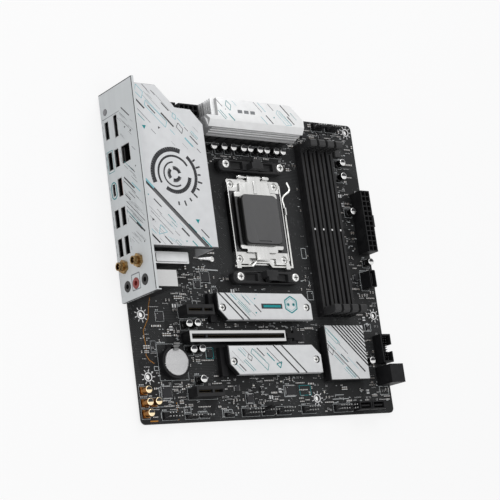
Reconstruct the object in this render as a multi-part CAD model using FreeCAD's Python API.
import FreeCAD, Part
import os
from math import cos, sin, pi, radians
from FreeCAD import Vector

# Micro-ATX motherboard with pre-mounted rear shield, covers, heatsinks and a lever-loaded
# processor socket.  Board datum: rear bottom corner.  x runs from the rear (port) edge to the
# front edge, y from the bottom edge to the top edge, z up from the underside of the board.
# Every position is taken from the edge that fixes it: rear (x), TOP - y, FRONT - x.

# ---------------------------------------------------------------- driving dimensions (mm)
BOARD_X = 243.84
BOARD_Y = 243.84
PCB_T = 1.6
PCB_CORNER_R = 4.0
FRONT = BOARD_X
TOP = BOARD_Y
S = PCB_T

HOLE_R = 2.0
HOLE_REAR_X = 10.16
HOLE_FRONT_X = FRONT - 6.35
HOLE_MID_X = 165.10
HOLE_TOP_Y = TOP - 6.35
HOLE_LOW_Y = TOP - 163.83
HOLE_SLOT_Y = TOP - 209.55
HOLE_END_Y = TOP - 229.87

# the row's origin is the centre of the rectangle of four board holes, on the underside
ORIGIN = Vector((HOLE_REAR_X + HOLE_FRONT_X) / 2, (HOLE_TOP_Y + HOLE_LOW_Y) / 2, 0)

CLEAR = 0.3
RUN = 0.05

# rear shield
SHIELD_X = -3.2
SHIELD_T = 0.8
SHIELD_LEN = 158.8
SHIELD_H = 45.4
SHIELD_DROP = 2.4
SHIELD_TOP_Y = TOP + 3.4
SHIELD_FLANGE = 4.0
SHIELD_LIP = 1.8
PORT_LIP = 0.4

# cover over the ports and the rear heatsink
COVER_H = 38.0
COVER_T = 1.8
COVER_REAR_X = -2.0
COVER_FRONT_X = 60.0
COVER_LOW_Y = TOP - 122.4
COVER_TOP_Y = TOP + 0.6
COVER_WALL_LOW = 10.0
GROOVE_W = 1.4
GROOVE_D = 0.8

# top voltage-regulator heatsink
HS_TOP_H = 28.5
HS_BODY_LOW = 14.0
HS_X0 = 79.0
HS_X1 = HS_X0 + 87.0
HS_FRONT_Y = TOP - 26.3
HS_EDGE_Y = TOP - 17.5
HS_REAR_Y = TOP
HS_CHAMFER = 12.0
HS_HOOD_X0 = 71.7
HS_NOTCH_X = 82.8
HS_NOTCH_Y = TOP - 14.5
FIN_T = 1.2
FIN_PITCH = 2.6

# rear voltage-regulator heatsink, under the cover
HSR_X1 = COVER_FRONT_X - 4.0
HSR_X0 = HSR_X1 - 20.0
HSR_Y0 = TOP - 113.0
HSR_Y1 = TOP - 33.0
HSR_TOP = COVER_H - 2.5

CHOKE = 7.0
CHOKE_H = 8.0
PAD_T = 1.0
STAGE_H = 1.0

# processor socket
SOCKET_X = 127.0
SOCKET_W = 40.0
SOCKET_L = 47.0
SOCKET_H = 3.4
FRAME_RAIL = 6.2
FRAME_RIM = 1.0
FRAME_END = 10.5
FRAME_H = 3.8
FRAME_W = SOCKET_W + 2 * FRAME_RAIL
FRAME_L = SOCKET_L + 2 * FRAME_END
FRAME_SCREW_IN = 4.0
FRAME_SCREW_SIDE = 4.45
FRAME_SCREW_X = FRAME_W - 2 * FRAME_SCREW_SIDE
FRAME_SCREW_Y = FRAME_L - 2 * FRAME_SCREW_IN
PLATE_T = 1.4
PLATE_W = SOCKET_W + 2.0
PLATE_SIDE = 5.5
PLATE_END_W = 30.0
PLATE_WINDOW_X = PLATE_W - 2 * PLATE_SIDE
PLATE_WINDOW_Y = SOCKET_L - 12.0
CAP_LIP = 2.4
CAP_W = PLATE_WINDOW_X + 2 * CAP_LIP
CAP_L = PLATE_WINDOW_Y + 2 * CAP_LIP + 0.4
CAP_T = 4.4
WIRE_R = 1.0
LEVER_ARM_X = FRAME_W / 2 + 3.8
LEVER_ARM_LEN = SOCKET_L + 4.0
BRACKET_W = 10.0
BRACKET_H = 6.0
BRACKET_GAP = 6.0
COOLER_X = 54.0
COOLER_Y = FRAME_L + 2 * BRACKET_GAP + BRACKET_W
# the upper bracket stands clear of the row of cans, which stands clear of the top heatsink
CAN_R = 2.8
CAN_H = 8.4
CAN_GAP = 6.2
VRM_CAN_Y = HS_FRONT_Y - CAN_R - 2.2
SOCKET_Y = VRM_CAN_Y - CAN_R - CAN_GAP - BRACKET_W / 2 - COOLER_Y / 2
BACKPLATE_T = 2.2

# memory slots
DIMM_PITCH = 9.03
DIMM_X = 181.3
DIMM_W = 6.5
DIMM_H = 8.0
DIMM_Y0 = TOP - 165.3
DIMM_LEN = 142.5
DIMM_END = 6.6
DIMM_GROOVE = 1.6
DIMM_KEY_Y = 70.6
LATCH_TOP = 22.0
LATCH_W = 4.0
LATCH_PIN_R = 0.8
LATCH_PIN_H = 4.2

# expansion slots
SLOT_X0 = 43.5
SLOT_W = 7.6
SLOT_H = 11.0
SLOT_PITCH = 20.32
SLOT16_Y = TOP - 182.3
SLOT16_LEN = 89.5
SLOT1_LEN = 25.0
SLOT_GROOVE = 1.8
SLOT_KEY = 14.0
ARMOUR_T = 0.4

# drive heatsinks
M2_TOP = 10.4
M2_LOW = 5.6
M2_CUT = 8.0
M2_UPPER = (72.9, TOP - 169.8, 90.9, 21.1)
M2_LOWER = (77.1, TOP - 211.4, 89.5, 22.2)
M2_SCREW_IN = 4.2
M2_SOCKET_L = 22.0
M2_SOCKET_D = 5.6
M2_SOCKET_H = 4.2

# chipset
CHIP_X = 194.1
CHIP_Y = TOP - 195.8
CHIP_SIZE = 24.0
CHIP_H = 2.0
CHIP_HS_X = 40.7
CHIP_HS_Y = 43.7
CHIP_HS_TOP = 10.4
RIDGE_D = 1.4

# coin cell
CELL_X = 32.9
CELL_Y = TOP - 199.9
CELL_R = 10.0
CELL_T = 3.2
HOLDER_R = CELL_R + 2.0
HOLDER_FLOOR = 2.6
HOLDER_H = HOLDER_FLOOR + 2.4

# power connectors
POWER_PITCH = 4.2
POWER_W = 9.8
POWER_H = 13.0
ATX_X = FRONT - 12.0
ATX_Y = TOP - 112.8
CPU_POWER_X = (37.0, 58.2)
CPU_POWER_Y = TOP - 11.3

PIN_PITCH = 2.54
PIN_W = 0.64
SCREW_SHANK_R = 1.45

# ports on the rear edge: distance of each stack's middle below the top edge
PORT_W = 15.0
PORT_SHELL = 0.5
LAN_Y = TOP - 49.9
USB_RED_Y = TOP - 72.1
USB_MID_Y = TOP - 93.8
USB_LOW_Y = TOP - 115.4
VIDEO_Y = TOP - 26.3
VIDEO_W = 18.0
ANTENNA_Y = TOP - 130.0
ANTENNA_H = (6.0, 25.4)
ANTENNA_R = 3.1
ANTENNA_REACH = 5.8
JACK_Y = TOP - 145.0
JACK_H = (7.1, 18.2, 29.9)
JACK_R = 4.0
JACK_BORE_R = 1.8
JACK_DEPTH = 13.0
BUTTON_Y = TOP - 11.9
BUTTON_H = 4.1
BUTTON_R = 2.2
BUTTON_TRAVEL = 0.8


# ---------------------------------------------------------------- small makers
def block(x0, x1, y0, y1, z0, z1):
    return Part.makeBox(x1 - x0, y1 - y0, z1 - z0, Vector(x0, y0, z0))


def centred(x, y, w, l, z0, z1):
    return block(x - w / 2, x + w / 2, y - l / 2, y + l / 2, z0, z1)


def upright(x, y, r, z0, z1):
    return Part.makeCylinder(r, z1 - z0, Vector(x, y, z0))


def rod_x(x0, x1, y, z, r):
    return Part.makeCylinder(r, x1 - x0, Vector(x0, y, z), Vector(1, 0, 0))


def rod_y(x, y0, y1, z, r):
    return Part.makeCylinder(r, y1 - y0, Vector(x, y0, z), Vector(0, 1, 0))


def plan(points, z0, z1):
    """Prism standing on a plan outline of (x, y) points."""
    corners = [Vector(x, y, z0) for x, y in points]
    wire = Part.makePolygon(corners + corners[:1])
    return Part.Face(wire).extrude(Vector(0, 0, z1 - z0))


def profile_x(points, x0, x1):
    """Bar along x with a section of (y, z) points."""
    corners = [Vector(x0, y, z) for y, z in points]
    wire = Part.makePolygon(corners + corners[:1])
    return Part.Face(wire).extrude(Vector(x1 - x0, 0, 0))


def profile_y(points, y0, y1):
    """Bar along y with a section of (x, z) points."""
    corners = [Vector(x, y0, z) for x, z in points]
    wire = Part.makePolygon(corners + corners[:1])
    return Part.Face(wire).extrude(Vector(0, y1 - y0, 0))


def rounded(solid, r):
    """The same solid with its upright edges rounded."""
    edges = [e for e in solid.Edges if abs(e.tangentAt(e.FirstParameter).z) > 0.99]
    return solid.makeFillet(r, edges)


def bevelled_top(solid, z, c):
    """The same solid with the edges that lie at height z bevelled."""
    edges = [e for e in solid.Edges if all(abs(v.Z - z) < 1e-6 for v in e.Vertexes)]
    return solid.makeChamfer(c, edges)


def fuse(*solids):
    return solids[0].multiFuse(list(solids[1:])).removeSplitter()


def cut(solid, tools):
    return solid.cut(Part.makeCompound(list(tools)))


def save(node, solids):
    shape = Part.makeCompound([piece for solid in solids for piece in solid.Solids])
    shape.translate(-ORIGIN)
    shape.exportStep("parts/" + node + ".step")


# ---------------------------------------------------------------- screws and their places
COOLER_SPOTS = [(SOCKET_X + i * COOLER_X / 2, SOCKET_Y + j * COOLER_Y / 2) for i in (-1, 1) for j in (-1, 1)]
FRAME_SPOTS = [(SOCKET_X + i * FRAME_SCREW_X / 2, SOCKET_Y + j * FRAME_SCREW_Y / 2)
               for i in (-1, 1) for j in (-1, 1)]
HS_TOP_SPOTS = [(HS_X0 + 5, HS_REAR_Y - 6), (HS_X1 - 5, HS_REAR_Y - 11)]
HS_REAR_SPOTS = [(HSR_X1 - 5, HSR_Y0 + 5), (HSR_X1 - 5, HSR_Y1 - 5)]
CHIP_SPOTS = [(CHIP_X - CHIP_HS_X / 2 + 5, CHIP_Y + CHIP_HS_Y / 2 - 5),
              (CHIP_X + CHIP_HS_X / 2 - 5, CHIP_Y - CHIP_HS_Y / 2 + 5)]
UNDER_SPOTS = HS_TOP_SPOTS + HS_REAR_SPOTS + CHIP_SPOTS
BOARD_HOLES = [(HOLE_REAR_X, HOLE_TOP_Y), (HOLE_FRONT_X, HOLE_TOP_Y), (HOLE_REAR_X, HOLE_LOW_Y),
               (HOLE_FRONT_X, HOLE_LOW_Y), (HOLE_MID_X, HOLE_LOW_Y), (HOLE_REAR_X, HOLE_SLOT_Y),
               (HOLE_MID_X, HOLE_END_Y)]


def m2_spots(box):
    x, y, length, width = box
    return [(x + M2_SCREW_IN, y + width / 2 - 1.0), (x + length - M2_SCREW_IN - 1.0, y + width / 2 - 0.6)]


M2_SPOTS = m2_spots(M2_UPPER) + m2_spots(M2_LOWER)


def pan_screw(x, y, seat, head_r, head_h, shank_r, end, up=1):
    """Pan head with a cross recess; up is +1 for a head on top, -1 for one underneath."""
    head = upright(x, y, head_r, min(seat, seat + up * head_h), max(seat, seat + up * head_h))
    rim = [e for e in head.Edges if abs(e.Vertexes[0].Z - seat - up * head_h) < 1e-6]
    head = head.makeFillet(head_h * 0.4, [e for e in rim if len(e.Vertexes) == 1])
    shank = upright(x, y, shank_r, min(seat, end), max(seat, end))
    z0 = seat + up * head_h * 0.45
    z1 = seat + up * head_h * 1.1
    arms = [centred(x, y, head_r * 1.1, head_r * 0.28, min(z0, z1), max(z0, z1)),
            centred(x, y, head_r * 0.28, head_r * 1.1, min(z0, z1), max(z0, z1))]
    return cut(fuse(head, shank), arms)


# ---------------------------------------------------------------- board
def board():
    sheet = rounded(block(0, FRONT, 0, TOP, 0, PCB_T), PCB_CORNER_R)
    holes = [upright(x, y, HOLE_R, -1, PCB_T + 1) for x, y in BOARD_HOLES]
    holes += [upright(x, y, SCREW_SHANK_R + CLEAR, -1, PCB_T + 1) for x, y in UNDER_SPOTS + FRAME_SPOTS]
    holes += [upright(x, y, 2.1, -1, PCB_T + 1) for x, y in COOLER_SPOTS]
    save("pcb", [cut(sheet, holes)])


def backplate():
    w = COOLER_X + 16
    l = COOLER_Y + 14
    plate = rounded(centred(SOCKET_X, SOCKET_Y, w, l, -BACKPLATE_T, 0), 6)
    window = rounded(centred(SOCKET_X, SOCKET_Y, SOCKET_W - 16, SOCKET_L - 20, -BACKPLATE_T - 1, 1), 3)
    threads = [upright(x, y, SCREW_SHANK_R + RUN, -BACKPLATE_T - 1, 1) for x, y in COOLER_SPOTS + FRAME_SPOTS]
    save("socket_backplate", [cut(plate, [window] + threads)])


# ---------------------------------------------------------------- rear ports
def mouth_block(y, mouth, grow, x0, x1):
    """Block through a port's mouth, grown by the same amount on all four sides."""
    half = mouth[0] / 2 + grow
    return block(x0, x1, y - half, y + half, S + mouth[1] - grow, S + mouth[2] + grow)


def port_shell(stack):
    """Sheet-metal stack behind the shield, a lipped mouth reaching through it for each port."""
    y, w, height, mouths = stack
    x0 = SHIELD_X + SHIELD_T + RUN
    body = block(x0, STACK_DEPTH, y - w / 2, y + w / 2, S, S + height)
    mouth_depth = 10.0
    lips = [mouth_block(y, mouth, PORT_LIP, SHIELD_X, x0) for mouth in mouths]
    pockets = [mouth_block(y, mouth, 0, SHIELD_X - 1, x0 + mouth_depth) for mouth in mouths]
    tongues = []
    for _, _, _, tongue_w, tongue_h0, tongue_h1 in mouths:
        tongues.append(block(SHIELD_X + 1.4, x0 + mouth_depth, y - tongue_w / 2, y + tongue_w / 2,
                             S + tongue_h0, S + tongue_h1))
    return [cut(fuse(body, *lips), pockets)] + tongues


# mouth width, its low and high side, then the tongue's width and its low and high side
USB_LOW = (13.4, 1.3, 6.8, 11.0, 4.3, 6.0)
USB_HIGH = (13.4, 10.1, 15.6, 11.0, 13.1, 14.8)
USB_C = (9.0, 2.7, 5.9, 6.8, 3.9, 4.7)
RJ45 = (13.0, 19.4, 30.2, 11.0, 20.0, 21.8)
VIDEO_LOW = (13.4, 1.4, 6.4, 10.8, 3.2, 4.6)
VIDEO_HIGH = (16.6, 13.8, 18.3, 13.4, 15.3, 16.7)
USB_STACK_H = 17.6
LAN_STACK_H = 32.0
VIDEO_STACK_H = 20.4
LAN_STACK = (LAN_Y, PORT_W, LAN_STACK_H, (USB_LOW, USB_HIGH, RJ45))
RED_STACK = (USB_RED_Y, PORT_W, USB_STACK_H, (USB_C, USB_HIGH))
USB_STACKS = [(y, PORT_W, USB_STACK_H, (USB_LOW, USB_HIGH)) for y in (USB_MID_Y, USB_LOW_Y)]
VIDEO_STACK = (VIDEO_Y, VIDEO_W, VIDEO_STACK_H, (VIDEO_LOW, VIDEO_HIGH))
STACK_DEPTH = 18.0
BUTTON_BODY = 6.4


def ports():
    save("lan_usb_stack", port_shell(LAN_STACK))
    usb = []
    for stack in [RED_STACK] + USB_STACKS:
        usb += port_shell(stack)
    save("usb_stacks", usb)
    save("video_ports", port_shell(VIDEO_STACK))

    # three jacks stacked in one tower, each a block of its own
    half = (JACK_H[1] - JACK_H[0]) / 2
    tower = []
    for k, h in enumerate(JACK_H):
        low = 0.0 if k == 0 else h - half
        high = JACK_H[k + 1] - half if k + 1 < len(JACK_H) else h + 5.2
        jack = block(0.2 - SHIELD_T, 21.0, JACK_Y - 6, JACK_Y + 6, S + low, S + high)
        collar = rod_x(SHIELD_X - 0.2, 0.5, JACK_Y, S + h, JACK_R)
        bore = rod_x(SHIELD_X - 1, JACK_DEPTH, JACK_Y, S + h, JACK_BORE_R)
        tower.append(cut(fuse(jack, collar), [bore]))
    save("audio_jack_stack", tower)

    antennas = []
    tip = SHIELD_X - ANTENNA_REACH
    nut_r = 5.2
    for h in ANTENNA_H:
        barrel = rod_x(tip, 6.6, ANTENNA_Y, S + h, ANTENNA_R)
        core = rod_x(tip - 1, SHIELD_X - 0.8, ANTENNA_Y, S + h, ANTENNA_R - 0.8)
        pin = rod_x(tip + 0.9, SHIELD_X - 0.3, ANTENNA_Y, S + h, 0.5)
        corners = [(ANTENNA_Y + nut_r * cos(k * pi / 3), S + h + nut_r * sin(k * pi / 3)) for k in range(6)]
        nut = profile_x(corners, SHIELD_X - 2.2, SHIELD_X)
        flange = rod_x(SHIELD_X + SHIELD_T, SHIELD_X + SHIELD_T + 1.2, ANTENNA_Y, S + h, 4.4)
        antennas.append(fuse(cut(fuse(barrel, nut, flange), [core]), pin))
    save("antenna_connectors", antennas)

    body = block(0.8, 0.8 + BUTTON_BODY, BUTTON_Y - 3.2, BUTTON_Y + 3.2, S, S + 7.2)
    well = rod_x(0.0, 5.0, BUTTON_Y, S + BUTTON_H, BUTTON_R + 0.1)
    plunger = rod_x(SHIELD_X - 0.4, 5.0 - BUTTON_TRAVEL - 0.2, BUTTON_Y, S + BUTTON_H, BUTTON_R)
    save("flash_button", [plunger])
    save("flash_button_housing", [cut(body, [well])])


def wifi():
    """Upright wireless card in its metal box, carried on its own socket."""
    x0 = 6.9
    x1 = 37.0
    y0 = ANTENNA_Y - 2.9
    y1 = ANTENNA_Y + 5.9
    base = block(x0 + 3, x1 - 3, y0 + 1, y1 - 1, S, S + 4.5)
    box = rounded(block(x0, x1, y0, y1, S + 4.5, S + 30.0), 1.0)
    lid = rounded(block(x0 + 1.2, x1 - 1.2, y0 + 1.2, y1 - 1.2, S + 30.0, S + 30.8), 0.8)
    save("wifi_module", [fuse(base, box, lid)])


def shield():
    y1 = SHIELD_TOP_Y
    y0 = y1 - SHIELD_LEN
    z0 = S - SHIELD_DROP
    z1 = z0 + SHIELD_H
    back = SHIELD_X + SHIELD_FLANGE
    lip = SHIELD_X + SHIELD_LIP
    face = block(SHIELD_X, SHIELD_X + SHIELD_T, y0, y1, z0, z1)
    top = block(SHIELD_X, lip, y0, y1, z1 - SHIELD_T, z1)
    foot = block(SHIELD_X, -CLEAR, y0, y1, z0, z0 + SHIELD_T)
    low_end = block(SHIELD_X, back, y0, y0 + SHIELD_T, z0, z1)
    high_end = block(SHIELD_X, lip, y1 - SHIELD_T, y1, z0, z1)
    sheet = fuse(face, top, foot, low_end, high_end)
    openings = []
    for y, _, _, mouths in [LAN_STACK, RED_STACK, VIDEO_STACK] + USB_STACKS:
        openings += [mouth_block(y, mouth, PORT_LIP + RUN, SHIELD_X - 1, 0.5) for mouth in mouths]
    for h in ANTENNA_H:
        openings.append(rod_x(SHIELD_X - 1, 1, ANTENNA_Y, S + h, ANTENNA_R + RUN))
    for h in JACK_H:
        openings.append(rod_x(SHIELD_X - 1, 1, JACK_Y, S + h, JACK_R + 0.2))
    openings.append(rod_x(SHIELD_X - 1, 1, BUTTON_Y, S + BUTTON_H, BUTTON_R + 0.3))
    openings.append(block(-CLEAR, back + 1, 0, TOP, z0 - 1, S + CLEAR))
    slots = []
    step = 3.2
    count = int((SHIELD_H - 8) / step)
    for k in range(count):
        z = z0 + 4 + k * step
        slots.append(block(SHIELD_X + 1.4, back - 1.0, y0 - 1, y0 + 2, z, z + 1.5))
    save("io_shield", [cut(sheet, openings + slots)])


def cover_outline(inset):
    """Plan of the cover, its side and end walls moved in by inset."""
    d = inset * 0.414
    x0 = COVER_REAR_X
    x1 = COVER_FRONT_X - inset
    y1 = COVER_TOP_Y - inset
    return [(x0, COVER_LOW_Y), (x1, COVER_LOW_Y), (x1, COVER_TOP_Y - 27.4 - d),
            (x1 - 10 + d, COVER_TOP_Y - 16.4 - inset), (36.0 - inset, COVER_TOP_Y - 16.0 - inset),
            (34.0 - inset, COVER_TOP_Y - 13.4 - d), (20.6 - d, y1), (x0, y1)]


def cover():
    top = S + COVER_H
    shell = plan(cover_outline(0), S + COVER_WALL_LOW, top)
    shell = bevelled_top(shell, top, 0.9)
    room = plan([(x - 1 if x < 0 else x, y - 1 if y < COVER_LOW_Y + 0.1 else y)
                 for x, y in cover_outline(COVER_T)], S, top - COVER_T)
    end_lip = block(4.0, COVER_FRONT_X - COVER_T, COVER_LOW_Y, COVER_LOW_Y + 1.2, top - 4.0, top - COVER_T)
    run = 48.0
    w = GROOVE_W * 0.7071
    gx = 2.4
    gy = COVER_LOW_Y + run
    groove = plan([(gx - w, gy - w), (gx + w, gy + w), (gx + run + w, gy - run + w),
                   (gx + run - w, gy - run - w)], top - GROOVE_D, top + 1)
    bosses = [upright(HSR_X1 - 4, y, 2.8, S + HSR_TOP, top - COVER_T + 0.2) for y in (HSR_Y0 + 12, HSR_Y1 - 12)]
    save("io_cover", [fuse(cut(shell, [room, groove]), end_lip, *bosses)])


# ---------------------------------------------------------------- voltage regulators
CHOKE_XS = [HS_X0 + 6.5 + k * 8.6 for k in range(10)]
CHOKE_Y = HS_FRONT_Y + 6.0
STAGE_Y = CHOKE_Y + 9.5
CHOKE_YS = [HSR_Y0 + 12 + k * 10.4 for k in range(6)]
CHOKE_X = HSR_X1 - 8.6
STAGE_X = CHOKE_X - 8.0


def rear_heatsink():
    low = S + CHOKE_H + PAD_T
    body = block(HSR_X0, HSR_X1, HSR_Y0, HSR_Y1, low, S + HSR_TOP)
    foot = block(STAGE_X - 3, STAGE_X + 3, HSR_Y0 + 9, HSR_Y1 - 9, S + STAGE_H + PAD_T, low)
    legs = [upright(x, y, 3.0, S, low) for x, y in HS_REAR_SPOTS]
    depth = 15.0
    gaps = []
    x = HSR_X0 + 2.0
    while x + FIN_PITCH < HSR_X1 - 10:
        gaps.append(block(x, x + FIN_PITCH - FIN_T, HSR_Y0 - 1, HSR_Y1 + 1, S + HSR_TOP - depth, S + HSR_TOP + 1))
        x += FIN_PITCH
    threads = [upright(x, y, SCREW_SHANK_R + RUN, 0, low + 3) for x, y in HS_REAR_SPOTS]
    save("vrm_heatsink_rear", [cut(fuse(body, foot, *legs), gaps + threads)])


def top_heatsink():
    low = S + CHOKE_H + PAD_T
    waist = S + HS_BODY_LOW
    peak = S + HS_TOP_H
    brow = peak - 3.3
    front = HS_FRONT_Y
    slope = HS_EDGE_Y - 5.1
    # stepped front: grooves run the whole length
    body = profile_x([(front + 2.4, low), (front + 2.4, waist), (front, waist), (slope + 0.4, brow),
                      (HS_REAR_Y, brow), (HS_REAR_Y, low)], HS_X0, HS_X1)
    grooves = []
    levels = 4
    for k in range(levels):
        z = waist + 2.0 + k * (brow - waist - 1.6) / levels
        y = front + (slope - front) * (z - waist) / (brow - waist)
        grooves.append(block(HS_X0 - 1, HS_X1 + 1, y - 2, y + 1.3, z, z + 0.9))
    # fins behind: slits open to the rear
    fins = []
    z = low + 3.0
    while z + FIN_PITCH < peak - 2.5:
        fins.append(block(HS_X0 - 1, HS_X1 + 1, HS_NOTCH_Y, HS_REAR_Y + 1, z, z + FIN_PITCH - FIN_T))
        z += FIN_PITCH
    columns = [upright(x, y, 4.0, S, brow) for x, y in HS_TOP_SPOTS]
    # hood: top plate, notched at its left rear, with a sloped brow along the front
    c = HS_CHAMFER
    hood = plan([(HS_HOOD_X0 + 3, HS_EDGE_Y), (HS_X1 + 1.4, HS_EDGE_Y), (HS_X1 + 1.4, HS_REAR_Y - c),
                 (HS_X1 + 1.4 - c, HS_REAR_Y), (HS_NOTCH_X, HS_REAR_Y), (HS_NOTCH_X, HS_NOTCH_Y),
                 (HS_HOOD_X0, HS_NOTCH_Y), (HS_HOOD_X0, HS_EDGE_Y + 2.4)], brow, peak)
    visor = profile_x([(HS_EDGE_Y, peak), (slope, brow), (slope, brow - 1.2), (slope + 1.4, brow - 1.2),
                       (HS_EDGE_Y, brow)], HS_HOOD_X0 + 3, HS_X1 + 1.4)
    cheek = plan([(HS_HOOD_X0, HS_EDGE_Y + 2.4), (HS_HOOD_X0, HS_NOTCH_Y), (HS_HOOD_X0 + 7.4, HS_NOTCH_Y),
                  (HS_HOOD_X0 + 7.4, slope), (HS_HOOD_X0 + 3, slope)], brow - 4.0, brow)
    foot = block(HS_X0 + 10, HS_X1 - 10, STAGE_Y - 3, STAGE_Y + 3, S + STAGE_H + PAD_T, low)
    threads = [upright(x, y, SCREW_SHANK_R + RUN, 0, low + 3) for x, y in HS_TOP_SPOTS]
    outline = plan([(HS_X0, front), (HS_X1, front), (HS_X1, HS_REAR_Y - c), (HS_X1 - c, HS_REAR_Y),
                    (HS_X0, HS_REAR_Y)], S, peak)
    metal = cut(body, grooves + fins).common(outline)
    save("vrm_heatsink_top", [cut(fuse(metal, hood, visor, cheek, foot, *columns), threads)])


def pads():
    under = S + CHOKE_H
    stage = S + STAGE_H
    layers = [block(CHOKE_XS[0] - 3, CHOKE_XS[-1] + 3, CHOKE_Y - 3, CHOKE_Y + 3, under, under + PAD_T),
              block(HS_X0 + 11, HS_X1 - 11, STAGE_Y - 2.6, STAGE_Y + 2.6, stage, stage + PAD_T),
              block(CHOKE_X - 3, CHOKE_X + 3, CHOKE_YS[0] - 3, CHOKE_YS[-1] + 3, under, under + PAD_T),
              block(STAGE_X - 2.6, STAGE_X + 2.6, HSR_Y0 + 10, HSR_Y1 - 10, stage, stage + PAD_T),
              centred(CHIP_X, CHIP_Y, CHIP_SIZE - 4, CHIP_SIZE - 4, S + CHIP_H, S + CHIP_H + PAD_T)]
    for x, y, length, width in (M2_UPPER, M2_LOWER):
        layers.append(block(x + 12, x + length - 12, y + 2, y + width - 2, S + M2_LOW - PAD_T, S + M2_LOW))
    save("thermal_pads", layers)


def choke(x, y, size, h):
    body = bevelled_top(rounded(centred(x, y, size, size, S, S + h), 0.8), S + h, 0.5)
    return body


def chokes():
    made = [choke(x, CHOKE_Y, CHOKE, CHOKE_H) for x in CHOKE_XS]
    made += [choke(CHOKE_X, y, CHOKE, CHOKE_H) for y in CHOKE_YS]
    made += [choke(FRONT - 23.0, TOP - 27.6, 6.0, 5.0), choke(FRONT - 28.6, TOP - 36.2, 4.6, 3.2),
             choke(FRONT - 28.6, TOP - 47.6, 4.6, 3.2)]
    save("chokes", made)


def can(x, y, r, h):
    """Polymer can on a square foot, crimped near its base."""
    foot = centred(x, y, 2 * r + 0.3, 2 * r + 0.3, S, S + 0.9)
    body = upright(x, y, r, S + 0.9, S + h)
    rim = [e for e in body.Edges if len(e.Vertexes) == 1 and e.Vertexes[0].Z > S + h - 0.1]
    body = body.makeFillet(0.5, rim)
    crimp = Part.makeTorus(r + 0.35, 0.6, Vector(x, y, S + 2.2))
    return fuse(foot, body.cut(crimp))


VRM_CAN_XS = (91.0, 100.9, 109.9, 119.9, 126.6, 136.2, 143.2, 152.8, 159.6)
BOARD_CANS = ((47.2, TOP - 171.6), (54.9, TOP - 171.2), (48.4, TOP - 190.8), (56.3, TOP - 190.4),
              (54.1, TOP - 213.2), (FRONT - 17.3, TOP - 77.3), (FRONT - 21.0, TOP - 35.6),
              (FRONT - 22.0, TOP - 47.4), (FRONT - 21.0, TOP - 202.0), (FRONT - 6.2, TOP - 119.8))
AUDIO_CANS = ((4.2, TOP - 219.8), (4.2, TOP - 228.6), (11.6, TOP - 228.3), (4.2, TOP - 236.4))


def capacitors():
    save("polymer_capacitors", [can(x, VRM_CAN_Y, CAN_R, CAN_H) for x in VRM_CAN_XS]
         + [can(x, y, 2.9, 7.4) for x, y in BOARD_CANS])
    save("audio_capacitors", [can(x, y, 2.7, 8.2) for x, y in AUDIO_CANS])


# ---------------------------------------------------------------- processor socket
PLATE_LOW = S + FRAME_H + 0.5
HINGE_R = 1.7
HINGE_Y = SOCKET_Y + FRAME_L / 2 + HINGE_R + CLEAR
HINGE_Z = PLATE_LOW + 0.2
LEVER_Y = SOCKET_Y - FRAME_L / 2 - 1.4
LEVER_Z = S + WIRE_R + 1.2
CRANK = 3.2


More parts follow.
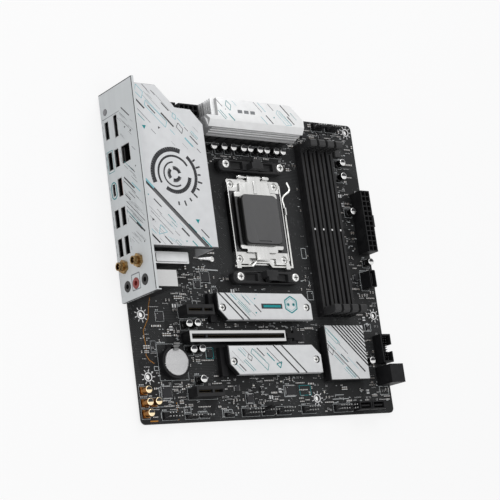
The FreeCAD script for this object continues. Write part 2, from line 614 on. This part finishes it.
def socket():
    housing = rounded(centred(SOCKET_X, SOCKET_Y, SOCKET_W, SOCKET_L, S, S + SOCKET_H), 1.2)
    pocket = centred(SOCKET_X, SOCKET_Y, SOCKET_W - 8, SOCKET_L - 11, S + SOCKET_H - 1.4, S + SOCKET_H + 1)
    well = centred(SOCKET_X, SOCKET_Y, 8, 8, S + SOCKET_H - 2.2, S + SOCKET_H)
    save("socket_housing", [cut(housing, [pocket, well])])

    ring = rounded(centred(SOCKET_X, SOCKET_Y, FRAME_W, FRAME_L, S, S + FRAME_H), 2.0)
    rim_t = 0.9
    rim_top = S + FRAME_H + FRAME_RIM
    rims = [centred(SOCKET_X + s * (FRAME_W - rim_t) / 2, SOCKET_Y, rim_t, FRAME_L - 6, S + 1, rim_top)
            for s in (-1, 1)]
    window = rounded(centred(SOCKET_X, SOCKET_Y, SOCKET_W + 2 * CLEAR, SOCKET_L + 2 * CLEAR, 0, S + 9), 1.4)
    seats = [upright(x, y, 3.0, S + 1.2, S + 9) for x, y in FRAME_SPOTS]
    holes = [upright(x, y, SCREW_SHANK_R + RUN, 0, S + 9) for x, y in FRAME_SPOTS]
    knuckle_w = 6.0
    knuckles = []
    for side in (-1, 1):
        x = SOCKET_X + side * (PLATE_END_W / 2 - knuckle_w / 2)
        knuckles.append(fuse(rod_x(x - knuckle_w / 2, x + knuckle_w / 2, HINGE_Y, HINGE_Z, HINGE_R),
                             block(x - knuckle_w / 2, x + knuckle_w / 2, HINGE_Y - HINGE_R - 1, HINGE_Y,
                                   S + 1.0, S + FRAME_H)))
    pin_room = rod_x(SOCKET_X - FRAME_W, SOCKET_X + FRAME_W, HINGE_Y, HINGE_Z, 0.8 + RUN)
    ears = []
    for side in (-1, 1):
        x = SOCKET_X + side * (FRAME_W / 2 - 2.0)
        ears.append(cut(block(x - 2, x + 2, LEVER_Y - 2.2, SOCKET_Y - FRAME_L / 2 + 1, S, LEVER_Z + 2.2),
                        [rod_x(x - 3, x + 3, LEVER_Y, LEVER_Z, WIRE_R + RUN)]))
    tab_x = SOCKET_X + FRAME_W / 2
    arm_x = SOCKET_X + LEVER_ARM_X
    tab_y = LEVER_Y + LEVER_ARM_LEN
    tab = fuse(block(tab_x - 1, arm_x - WIRE_R - CLEAR, tab_y - 9, tab_y - 3, S, S + 1.2),
               block(arm_x - WIRE_R - CLEAR - 1.2, arm_x - WIRE_R - CLEAR, tab_y - 9, tab_y - 3, S, S + 6.4))
    relief = block(SOCKET_X - 13, SOCKET_X + 13, LEVER_Y, LEVER_Y + CRANK + WIRE_R + CLEAR + 1.6, S + 1.0, S + 9)
    frame = fuse(cut(ring, [window, relief] + seats + holes), tab, *ears, *rims)
    save("socket_frame", [cut(fuse(frame, *knuckles), [pin_room])])

    z0 = PLATE_LOW
    z1 = PLATE_LOW + PLATE_T
    y0 = SOCKET_Y - FRAME_L / 2 + 9
    y1 = SOCKET_Y + FRAME_L / 2 - 2
    plate = rounded(centred(SOCKET_X, SOCKET_Y + 0.6, PLATE_W, PLATE_WINDOW_Y + 2 * PLATE_SIDE, z0, z1), 2.0)
    spine = rounded(block(SOCKET_X - PLATE_END_W / 2, SOCKET_X + PLATE_END_W / 2, y0, y1, z0, z1), 1.5)
    window = rounded(centred(SOCKET_X, SOCKET_Y + 0.6, PLATE_WINDOW_X, PLATE_WINDOW_Y, z0 - 1, z1 + 1), 2.0)
    tongue_y = LEVER_Y + CRANK + WIRE_R + CLEAR
    tongue = block(SOCKET_X - 6, SOCKET_X + 6, tongue_y, y0 + 2, z0, z1)
    arm_w = 13.0
    arm = block(SOCKET_X - arm_w / 2, SOCKET_X + arm_w / 2, y1 - 1, HINGE_Y, z0, z1)
    barrel = rod_x(SOCKET_X - arm_w / 2, SOCKET_X + arm_w / 2, HINGE_Y, HINGE_Z, HINGE_R)
    pin = rod_x(SOCKET_X - PLATE_END_W / 2 - 1.0, SOCKET_X + PLATE_END_W / 2 + 1.0, HINGE_Y, HINGE_Z, 0.8)
    rib = block(SOCKET_X - 1.5, SOCKET_X + 1.5, SOCKET_Y + PLATE_WINDOW_Y / 2 + 5, HINGE_Y - 3, z1, z1 + 0.8)
    save("load_plate", [fuse(cut(fuse(plate, spine), [window]), tongue, arm, barrel, pin, rib)])

    cap = rounded(centred(SOCKET_X, SOCKET_Y + 0.6, CAP_W, CAP_L, z1, z1 + CAP_T), 5.0)
    cap = bevelled_top(cap, z1 + CAP_T, 0.8)
    inner = rounded(centred(SOCKET_X, SOCKET_Y + 0.6, PLATE_WINDOW_X - 2 * CLEAR, PLATE_WINDOW_Y - 2 * CLEAR,
                            z0 + 0.4, z1), 1.7)
    hollow = rounded(centred(SOCKET_X, SOCKET_Y + 0.6, PLATE_WINDOW_X - 5, PLATE_WINDOW_Y - 5,
                             z0, z1 + CAP_T - 1.2), 1.7)
    lift = centred(SOCKET_X, SOCKET_Y + 0.6 - CAP_L / 2 + 2.4, 12, 1.0, z1 + CAP_T - 0.6, z1 + CAP_T + 1)
    save("socket_cap", [cut(fuse(cap, inner), [hollow, lift])])

    save("socket_screws", [pan_screw(x, y, S + 1.2, 2.7, 1.9, SCREW_SHANK_R, -BACKPLATE_T + 0.4)
                           for x, y in FRAME_SPOTS])


def lever():
    """One bent wire: cross-bar with a crank in its middle, side arm and cranked handle."""
    x_end = SOCKET_X - FRAME_W / 2 - 1.0
    arm_x = SOCKET_X + LEVER_ARM_X
    crank_y = LEVER_Y + CRANK
    grip_z = LEVER_Z + 3.6
    tip_y = LEVER_Y + LEVER_ARM_LEN
    path = [Vector(x_end, LEVER_Y, LEVER_Z), Vector(SOCKET_X - 10, LEVER_Y, LEVER_Z),
            Vector(SOCKET_X - 6.5, crank_y, LEVER_Z + 0.6), Vector(SOCKET_X + 6.5, crank_y, LEVER_Z + 0.6),
            Vector(SOCKET_X + 10, LEVER_Y, LEVER_Z), Vector(arm_x, LEVER_Y, LEVER_Z),
            Vector(arm_x, tip_y, LEVER_Z), Vector(arm_x - 1.6, tip_y + 3.6, LEVER_Z + 0.8),
            Vector(arm_x - 1.6, tip_y + 5.6, LEVER_Z + 1.4), Vector(arm_x - 0.2, tip_y + 7.6, LEVER_Z + 2.2),
            Vector(arm_x + 3.6, tip_y + 10.2, grip_z), Vector(arm_x + 4.8, tip_y + 12.0, grip_z),
            Vector(arm_x + 4.8, tip_y + 13.8, grip_z), Vector(arm_x + 3.2, tip_y + 17.6, grip_z)]
    pieces = []
    for a, b in zip(path, path[1:]):
        pieces.append(Part.makeCylinder(WIRE_R, (b - a).Length, a, b - a))
        pieces.append(Part.makeSphere(WIRE_R, b))
    save("load_lever", [fuse(*pieces)])


def brackets():
    for name, side in (("cooler_bracket_top", 1), ("cooler_bracket_bottom", -1)):
        y = SOCKET_Y + side * COOLER_Y / 2
        half = COOLER_X / 2 + 5.5
        bar = rounded(block(SOCKET_X - half, SOCKET_X + half, y - BRACKET_W / 2, y + BRACKET_W / 2,
                            S, S + BRACKET_H), 4.5)
        bar = bevelled_top(bar, S + BRACKET_H, 0.8)
        relief = [centred(SOCKET_X + s * 15, y, 12, BRACKET_W - 4, S + 2.4, S + 9) for s in (-1, 1)]
        post = centred(SOCKET_X, y - side * 1.5, 11, 5, S + BRACKET_H - 1, S + 13.5)
        hook = centred(SOCKET_X, y + side * 1.8, 8, 4.4, S + 10.6, S + 13.5)
        web = centred(SOCKET_X, y + side * 1.0, 3, 6.0, S + BRACKET_H - 1, S + 10.6)
        holes = [upright(SOCKET_X + s * COOLER_X / 2, y, SCREW_SHANK_R + 0.2, 0, S + 9) for s in (-1, 1)]
        save(name, [cut(fuse(cut(bar, relief), post, hook, web), holes)])
    save("bracket_screws", [pan_screw(x, y, S + BRACKET_H, 3.4, 2.4, SCREW_SHANK_R, -BACKPLATE_T + 0.4)
                            for x, y in COOLER_SPOTS])


# ---------------------------------------------------------------- memory slots
def memory():
    y0 = DIMM_Y0
    y1 = DIMM_Y0 + DIMM_LEN
    for k in range(4):
        x = DIMM_X + k * DIMM_PITCH
        half = DIMM_W / 2
        body = block(x - half, x + half, y0, y1, S, S + DIMM_H)
        ends = [(y0, y0 + DIMM_END, y0 - 1, y0 + DIMM_END), (y1 - DIMM_END, y1, y1 - DIMM_END, y1 + 1)]
        gaps = [block(x - LATCH_W / 2 - 0.25, x + LATCH_W / 2 + 0.25, a, b, S + 1.0, S + 20)
                for _, _, a, b in ends]
        pivots = [rod_x(x - half - 1, x + half + 1, y, S + LATCH_PIN_H, LATCH_PIN_R + RUN)
                  for y in (y0 + DIMM_END / 2, y1 - DIMM_END / 2)]
        groove = block(x - DIMM_GROOVE / 2, x + DIMM_GROOVE / 2, y0 + DIMM_END + 0.8, y1 - DIMM_END - 0.8,
                       S + 2.0, S + 20)
        key = block(x - DIMM_GROOVE / 2, x + DIMM_GROOVE / 2, y0 + DIMM_KEY_Y - 0.7, y0 + DIMM_KEY_Y + 0.7,
                    S + 2.0, S + DIMM_H)
        flutes = [block(x + s * half - 0.4, x + s * half + 0.4, y0 + DIMM_END + 3, y1 - DIMM_END - 3,
                        S + 2.2, S + 5.4) for s in (-1, 1)]
        save("dimm_slot_%d" % (k + 1), [cut(body, gaps + pivots + flutes + [groove.cut(key)])])
        for end, y, side in (("bottom", y0 + DIMM_END / 2, -1), ("top", y1 - DIMM_END / 2, 1)):
            save("dimm_latch_%d_%s" % (k + 1, end), [latch(x, y, side)])


def latch(x, y, side):
    """Swinging retainer: foot between the slot's cheeks, finger grip on top."""
    pin_z = S + LATCH_PIN_H
    foot_r = LATCH_PIN_H - 1.6
    foot = rod_x(x - LATCH_W / 2, x + LATCH_W / 2, y, pin_z, foot_r)
    inner = y - side * (DIMM_END / 2 - 0.5)
    outer = y + side * foot_r
    crown = y + side * (DIMM_END / 2 + 0.2)
    z1 = S + LATCH_TOP
    stem = profile_x([(inner, pin_z), (outer, pin_z), (crown, z1 - 7), (crown, z1 - 1.6), (crown - side * 1.6, z1),
                      (inner + side * 1.0, z1), (inner, z1 - 1.0)], x - LATCH_W / 2, x + LATCH_W / 2)
    grip = profile_x([(inner + side * 0.6, z1 - 8.5), (crown, z1 - 7), (crown, z1 - 1.6),
                      (crown - side * 1.6, z1), (inner + side * 1.0, z1), (inner, z1 - 1.0)],
                     x - DIMM_W / 2, x + DIMM_W / 2)
    slot = block(x - DIMM_GROOVE / 2, x + DIMM_GROOVE / 2, min(inner, inner + side * 2), max(inner, inner + side * 2),
                 pin_z + 3, z1 - 3.5)
    trunnion = rod_x(x - DIMM_W / 2 + 0.2, x + DIMM_W / 2 - 0.2, y, pin_z, LATCH_PIN_R)
    return cut(fuse(foot, stem, grip, trunnion), [slot])


# ---------------------------------------------------------------- drives and chipset
def drive_heatsink(box, groove_xs):
    x, y, length, width = box
    c = M2_CUT
    top = S + M2_TOP
    body = plan([(x + c, y), (x + length, y), (x + length, y + width - c), (x + length - c, y + width),
                 (x, y + width), (x, y + c)], S + M2_LOW, top)
    body = bevelled_top(body, top, 0.6)
    w = 0.75
    slashes = []
    for gx in groove_xs:
        x0 = x + gx
        slashes.append(plan([(x0 - w, y + width + 1), (x0 + w, y + width + 1),
                             (x0 + width + 2 + w, y - 1), (x0 + width + 2 - w, y - 1)], top - 0.7, top + 1))
    spots = m2_spots(box)
    wells = [upright(a, b, 3.0, top - 2.4, top + 1) for a, b in spots]
    holes = [upright(a, b, SCREW_SHANK_R + 0.2, 0, top) for a, b in spots]
    return cut(body, slashes + wells + holes)


def drives():
    save("m2_heatsink_upper", [drive_heatsink(M2_UPPER, (0.4, 6.2))])
    save("m2_heatsink_lower", [drive_heatsink(M2_LOWER, (41.7, 49.7))])
    seat = S + M2_TOP - 2.4
    fasteners = [pan_screw(x, y, seat, 2.6, 1.8, SCREW_SHANK_R, S + 1.0) for x, y in M2_SPOTS]
    for x, y in M2_SPOTS:
        thread = upright(x, y, SCREW_SHANK_R + RUN, S + 0.8, S + 9)
        fasteners.append(cut(upright(x, y, 2.0, S, S + M2_LOW), [thread]))
    save("m2_screws_and_standoffs", fasteners)
    sockets = []
    for x, y, length, width in (M2_UPPER, M2_LOWER):
        x1 = x + M2_SCREW_IN - 2.2
        y0 = y + (width - M2_SOCKET_L) / 2
        body = block(x1 - M2_SOCKET_D, x1, y0, y0 + M2_SOCKET_L, S, S + M2_SOCKET_H)
        mouth = block(x1 - 3.6, x1 + 1, y0 + 1.2, y0 + M2_SOCKET_L - 1.2, S + 2.0, S + 3.2)
        sockets.append(cut(body, [mouth]))
    save("m2_sockets", sockets)


def chipset():
    low = S + CHIP_H + PAD_T
    top = S + CHIP_HS_TOP
    x0 = CHIP_X - CHIP_HS_X / 2
    x1 = CHIP_X + CHIP_HS_X / 2
    y0 = CHIP_Y - CHIP_HS_Y / 2
    y1 = CHIP_Y + CHIP_HS_Y / 2
    body = bevelled_top(rounded(block(x0, x1, y0, y1, low, top), 1.0), top, 0.5)
    # slanting ridges over the upper right corner
    grooves = []
    count = 9
    step = 3.5
    w = 0.8
    for k in range(count):
        reach = 6.0 + k * step
        grooves.append(plan([(x1 - reach - w, y1 + 1), (x1 - reach + w, y1 + 1), (x1 + 1, y1 - reach + w),
                             (x1 + 1, y1 - reach - w)], top - RIDGE_D, top + 1))
    d = CHIP_HS_X - 10
    crease = plan([(x0 - 1, y0 + d - 0.4), (x0 - 1, y0 + d + 0.4), (x0 + d + 0.4, y0 - 1), (x0 + d - 0.4, y0 - 1)],
                  top - 0.6, top + 1)
    legs = [upright(x, y, 2.8, S, low) for x, y in CHIP_SPOTS]
    threads = [upright(x, y, SCREW_SHANK_R + RUN, 0, low + 3) for x, y in CHIP_SPOTS]
    save("chipset_heatsink", [cut(fuse(cut(body, grooves + [crease]), *legs), threads)])


CHIPS = ((24.3, TOP - 221.2, 8.0, 8.0, 1.2), (139.4, TOP - 223.1, 9.0, 7.0, 1.2),
         (63.5, TOP - 140.4, 5.0, 5.0, 0.9), (71.6, TOP - 134.6, 7.0, 7.0, 1.0),
         (79.0, TOP - 146.0, 4.0, 5.0, 1.0), (66.4, TOP - 193.4, 4.6, 5.6, 1.4), (99.0, TOP - 228.0, 6.0, 6.0, 1.0),
         (26.0, TOP - 165.0, 6.0, 6.0, 0.9))


def circuits():
    made = [centred(CHIP_X, CHIP_Y, CHIP_SIZE, CHIP_SIZE, S, S + CHIP_H)]
    made += [centred(x, y, w, l, S, S + h) for x, y, w, l, h in CHIPS]
    count = 8
    for k in range(count):
        x = HS_X0 + 15 + k * (HS_X1 - HS_X0 - 30) / (count - 1)
        made.append(centred(x, STAGE_Y, 5, 5, S, S + STAGE_H))
    for k in range(5):
        y = HSR_Y0 + 14 + k * (HSR_Y1 - HSR_Y0 - 28) / 4
        made.append(centred(STAGE_X, y, 5, 5, S, S + STAGE_H))
    save("integrated_circuits", made)


def underside_screws():
    head = 1.2
    made = []
    for spots, low in ((HS_TOP_SPOTS + HS_REAR_SPOTS, S + CHOKE_H + PAD_T + 2), (CHIP_SPOTS, S + CHIP_H + PAD_T + 2)):
        made += [pan_screw(x, y, 0, 3.0, head, SCREW_SHANK_R, low, up=-1) for x, y in spots]
    save("heatsink_screws", made)


# ---------------------------------------------------------------- expansion slots
def slot_body(x0, x1, y):
    body = block(x0, x1, y - SLOT_W / 2, y + SLOT_W / 2, S, S + SLOT_H)
    groove = block(x0 + 1.6, x1 - 1.6, y - SLOT_GROOVE / 2, y + SLOT_GROOVE / 2, S + 3.0, S + 20)
    key = block(x0 + SLOT_KEY, x0 + SLOT_KEY + 1.8, y - 2, y + 2, S + 3.0, S + SLOT_H)
    lead = profile_x([(y - 1.6, S + SLOT_H + 0.01), (y + 1.6, S + SLOT_H + 0.01), (y, S + SLOT_H - 1.6)],
                     x0 + 1.6, x1 - 1.6)
    return cut(body, [groove.cut(key), lead.cut(key)])


LATCH_X = SLOT_X0 + SLOT16_LEN + 1.2
SLOT_LATCH_Z = S + 3.4


def expansion():
    x1 = SLOT_X0 + SLOT16_LEN
    body = slot_body(SLOT_X0, x1, SLOT16_Y)
    cheeks = [block(x1, x1 + 6.4, SLOT16_Y + s * 2.9 - 0.9, SLOT16_Y + s * 2.9 + 0.9, S, S + 6.6) for s in (-1, 1)]
    floor = block(x1, x1 + 6.4, SLOT16_Y - 2, SLOT16_Y + 2, S, S + 0.9)
    pivot = rod_y(LATCH_X + 2.2, SLOT16_Y - 5, SLOT16_Y + 5, SLOT_LATCH_Z, LATCH_PIN_R + RUN)
    save("pcie_x16_slot", [cut(fuse(body, floor, *cheeks), [pivot])])

    half = SLOT_W / 2
    outer = block(SLOT_X0 - ARMOUR_T, x1 - 0.2, SLOT16_Y - half - ARMOUR_T, SLOT16_Y + half + ARMOUR_T,
                  S + 1.0, S + SLOT_H + ARMOUR_T)
    room = block(SLOT_X0, x1, SLOT16_Y - half, SLOT16_Y + half, 0, S + SLOT_H)
    mouth = block(SLOT_X0 + 1.4, x1 - 1.4, SLOT16_Y - 2.0, SLOT16_Y + 2.0, S, S + 20)
    save("pcie_x16_shield", [cut(outer, [room, mouth])])

    px = LATCH_X + 2.2
    w = 1.8
    foot = rod_y(px, SLOT16_Y - w, SLOT16_Y + w, SLOT_LATCH_Z, 2.0)
    stem = profile_y([(px - 2.0, SLOT_LATCH_Z), (px + 2.0, SLOT_LATCH_Z), (px + 2.4, S + 8.4), (px + 12.0, S + 8.8),
                      (px + 13.0, S + 11.4), (px - 2.0, S + 11.4)], SLOT16_Y - w, SLOT16_Y + w)
    paddle = profile_y([(px + 4.6, S + 8.5), (px + 12.0, S + 8.8), (px + 13.0, S + 11.4), (px + 4.6, S + 11.4)],
                       SLOT16_Y - 3.8, SLOT16_Y + 3.8)
    trunnion = rod_y(px, SLOT16_Y - 3.6, SLOT16_Y + 3.6, SLOT_LATCH_Z, LATCH_PIN_R)
    save("pcie_x16_latch", [fuse(foot, stem, paddle, trunnion)])

    save("pcie_x1_slots", [slot_body(SLOT_X0, SLOT_X0 + SLOT1_LEN, SLOT16_Y + SLOT_PITCH),
                           slot_body(SLOT_X0, SLOT_X0 + SLOT1_LEN, SLOT16_Y - 2 * SLOT_PITCH)])


# ---------------------------------------------------------------- coin cell
def coin_cell():
    floor = S + HOLDER_FLOOR
    ring = upright(CELL_X, CELL_Y, HOLDER_R, S, S + HOLDER_H)
    pocket = upright(CELL_X, CELL_Y, CELL_R + 0.2, floor, S + 20)
    notch = block(CELL_X - 3.4, CELL_X + 3.4, CELL_Y + CELL_R - 2, CELL_Y + HOLDER_R + 2, S + 1.0, S + 20)
    lug = block(CELL_X - 4.6, CELL_X + 4.6, CELL_Y + CELL_R, CELL_Y + HOLDER_R + 1.6, S, S + 1.0)
    save("battery_holder", [fuse(cut(ring, [pocket, notch]), lug)])

    cell = upright(CELL_X, CELL_Y, CELL_R, floor, floor + CELL_T)
    rims = [e for e in cell.Edges if len(e.Vertexes) == 1]
    save("battery", [cell.makeFillet(0.3, rims)])

    y = CELL_Y + CELL_R + 1.0
    top = floor + CELL_T + CLEAR
    post = block(CELL_X - 2.6, CELL_X + 2.6, y, y + 0.6, S + 1.4, top + 0.6)
    finger = block(CELL_X - 2.0, CELL_X + 2.0, y - 2.6, y + 0.6, top, top + 0.6)
    thumb = profile_x([(y, top), (y + 0.6, top), (y + 3.0, top + 1.8), (y + 2.6, top + 2.2), (y, top + 0.6)],
                      CELL_X - 2.6, CELL_X + 2.6)
    root = rod_x(CELL_X - 2.6, CELL_X + 2.6, y + 0.3, S + 1.4, 0.35)
    save("battery_clip", [fuse(post, finger, thumb, root)])


# ---------------------------------------------------------------- connectors
def power_body(x, y, nx, ny):
    """Power header with nx by ny square cells; x, y is its low corner."""
    w = nx * POWER_PITCH + 1.4
    l = ny * POWER_PITCH + 1.4
    body = block(x, x + w, y, y + l, S, S + POWER_H)
    cells = []
    for i in range(nx):
        for j in range(ny):
            cells.append(centred(x + 0.7 + (i + 0.5) * POWER_PITCH, y + 0.7 + (j + 0.5) * POWER_PITCH,
                                 POWER_PITCH - 0.8, POWER_PITCH - 0.8, S + 2.5, S + 20))
    pins = [(x + 0.7 + (i + 0.5) * POWER_PITCH, y + 0.7 + (j + 0.5) * POWER_PITCH, 1.0, 9.0)
            for i in range(nx) for j in range(ny)]
    return cut(body, cells), pins


def pin_block(x, y, nx, ny, missing=()):
    """Open header: a low base and the places of its pins."""
    base = block(x, x + nx * PIN_PITCH, y, y + ny * PIN_PITCH, S, S + 2.5)
    pins = [(x + (i + 0.5) * PIN_PITCH, y + (j + 0.5) * PIN_PITCH, PIN_W, 8.5)
            for i in range(nx) for j in range(ny) if (i, j) not in missing]
    return base, pins


def fan_block(x, y, back):
    """Four-pin fan header with its guide rail on the side given by back."""
    l = 4 * PIN_PITCH
    base = block(x, x + l, y, y + 5.8, S, S + 3.2)
    rail_y = y + 4.8 if back > 0 else y
    rail = block(x + 1.3, x + l - 2.6, rail_y, rail_y + 1.0, S + 3.2, S + 11.0)
    pin_y = y + 2.7
    return fuse(base, rail), [(x + (i + 0.5) * PIN_PITCH, pin_y, PIN_W, 9.5) for i in range(4)]


def sata_edge():
    """Two right-angle drive ports, one over the other, mouths to the front."""
    x0 = FRONT - 13.3
    x1 = FRONT + 1.0
    y0 = TOP - 222.0
    w = 15.0
    body = block(x0, x1, y0, y0 + w, S, S + 17.8)
    mouths = []
    for h in (1.6, 10.2):
        mouths.append(block(x1 - 7.5, x1 + 1, y0 + 1.2, y0 + w - 1.2, S + h, S + h + 5.6))
    return [cut(body, mouths)] + [block(x1 - 7.5, x1 - 0.8, y0 + 2.6, y0 + w - 3.4, S + h + 2.0, S + h + 3.2)
                                  for h in (1.6, 10.2)]


def sata_upright(x):
    y0 = 2.4
    body = block(x, x + 13.0, y0, y0 + 6.6, S, S + 8.6)
    mouth = block(x + 1.1, x + 11.9, y0 + 1.0, y0 + 5.6, S + 2.0, S + 20)
    blade = block(x + 2.2, x + 10.6, y0 + 2.6, y0 + 3.8, S + 2.0, S + 8.0)
    return [cut(body, [mouth]), blade]


def connectors():
    pins = []
    atx, places = power_body(ATX_X, ATX_Y, 2, 12)
    hook = block(ATX_X + POWER_W, ATX_X + POWER_W + 1.0, ATX_Y + 21, ATX_Y + 31, S + 6, S + POWER_H)
    save("atx_power_connector", [fuse(atx, hook)])
    pins += places
    cpu = []
    for x in CPU_POWER_X:
        body, places = power_body(x, CPU_POWER_Y, 4, 2)
        cpu.append(body)
        pins += places
    save("cpu_power_connectors", cpu)

    x0 = FRONT - 11.2
    y0 = TOP - 204.0
    shell = block(x0, x0 + 10.8, y0, y0 + 22.9, S, S + 9.6)
    room = block(x0 + 1.2, x0 + 9.6, y0 + 1.2, y0 + 21.7, S + 2.2, S + 20)
    key = block(x0 + 9.0, x0 + 12, y0 + 8.7, y0 + 14.2, S + 2.2, S + 20)
    save("usb3_header", [cut(shell, [room, key])])
    pins += [(x0 + 5.4 + side, y0 + 2.4 + k * 2.0, PIN_W, 8.0) for side in (-1.2, 1.2) for k in range(10)
             if (side, k) != (-1.2, 0)]

    x0 = FRONT - 13.9
    y0 = TOP - 142.3
    shell = rounded(block(x0, x0 + 6.5, y0, y0 + 14.3, S, S + 11.0), 1.2)
    room = rounded(block(x0 + 0.8, x0 + 5.7, y0 + 0.8, y0 + 13.5, S + 2.2, S + 20), 0.6)
    tongue = block(x0 + 2.8, x0 + 3.7, y0 + 2.4, y0 + 11.9, S + 2.2, S + 9.6)
    save("usb_c_header", [cut(shell, [room]), tongue])

    save("sata_ports", sata_edge() + sata_upright(FRONT - 43.3) + sata_upright(FRONT - 29.6))

    blocks = []
    low = 3.0
    for x, nx, ny, missing in ((18.5, 5, 2, ((3, 1),)), (38.5, 4, 1, ()), (51.5, 3, 1, ()), (74.0, 3, 1, ()),
                               (90.5, 6, 2, ((1, 1),)), (123.5, 5, 2, ((4, 0),)), (148.5, 5, 2, ((4, 0),)),
                               (FRONT - 63.0, 5, 2, ((4, 0),)), (FRONT - 49.5, 2, 2, ())):
        body, places = pin_block(x, low, nx, ny, missing)
        blocks.append(body)
        pins += places
    for x, y, back in ((109.5, low, 1), (FRONT - 43.5, TOP - 7.2, -1), (FRONT - 28.5, TOP - 7.2, -1)):
        body, places = fan_block(x, y, back)
        blocks.append(body)
        pins += places
    save("pin_headers", blocks)
    return pins


def header_pins(places):
    """Square pins standing on the board, up through their headers."""
    blocks = []
    for x, y, w, h in places:
        blocks.append(centred(x, y, w, w, S, S + h))
    save("header_pins", blocks)


os.makedirs("parts", exist_ok=True)
board()
backplate()
ports()
wifi()
shield()
cover()
rear_heatsink()
top_heatsink()
pads()
chokes()
capacitors()
socket()
lever()
brackets()
memory()
drives()
chipset()
circuits()
underside_screws()
expansion()
coin_cell()
places = connectors()
header_pins(places)
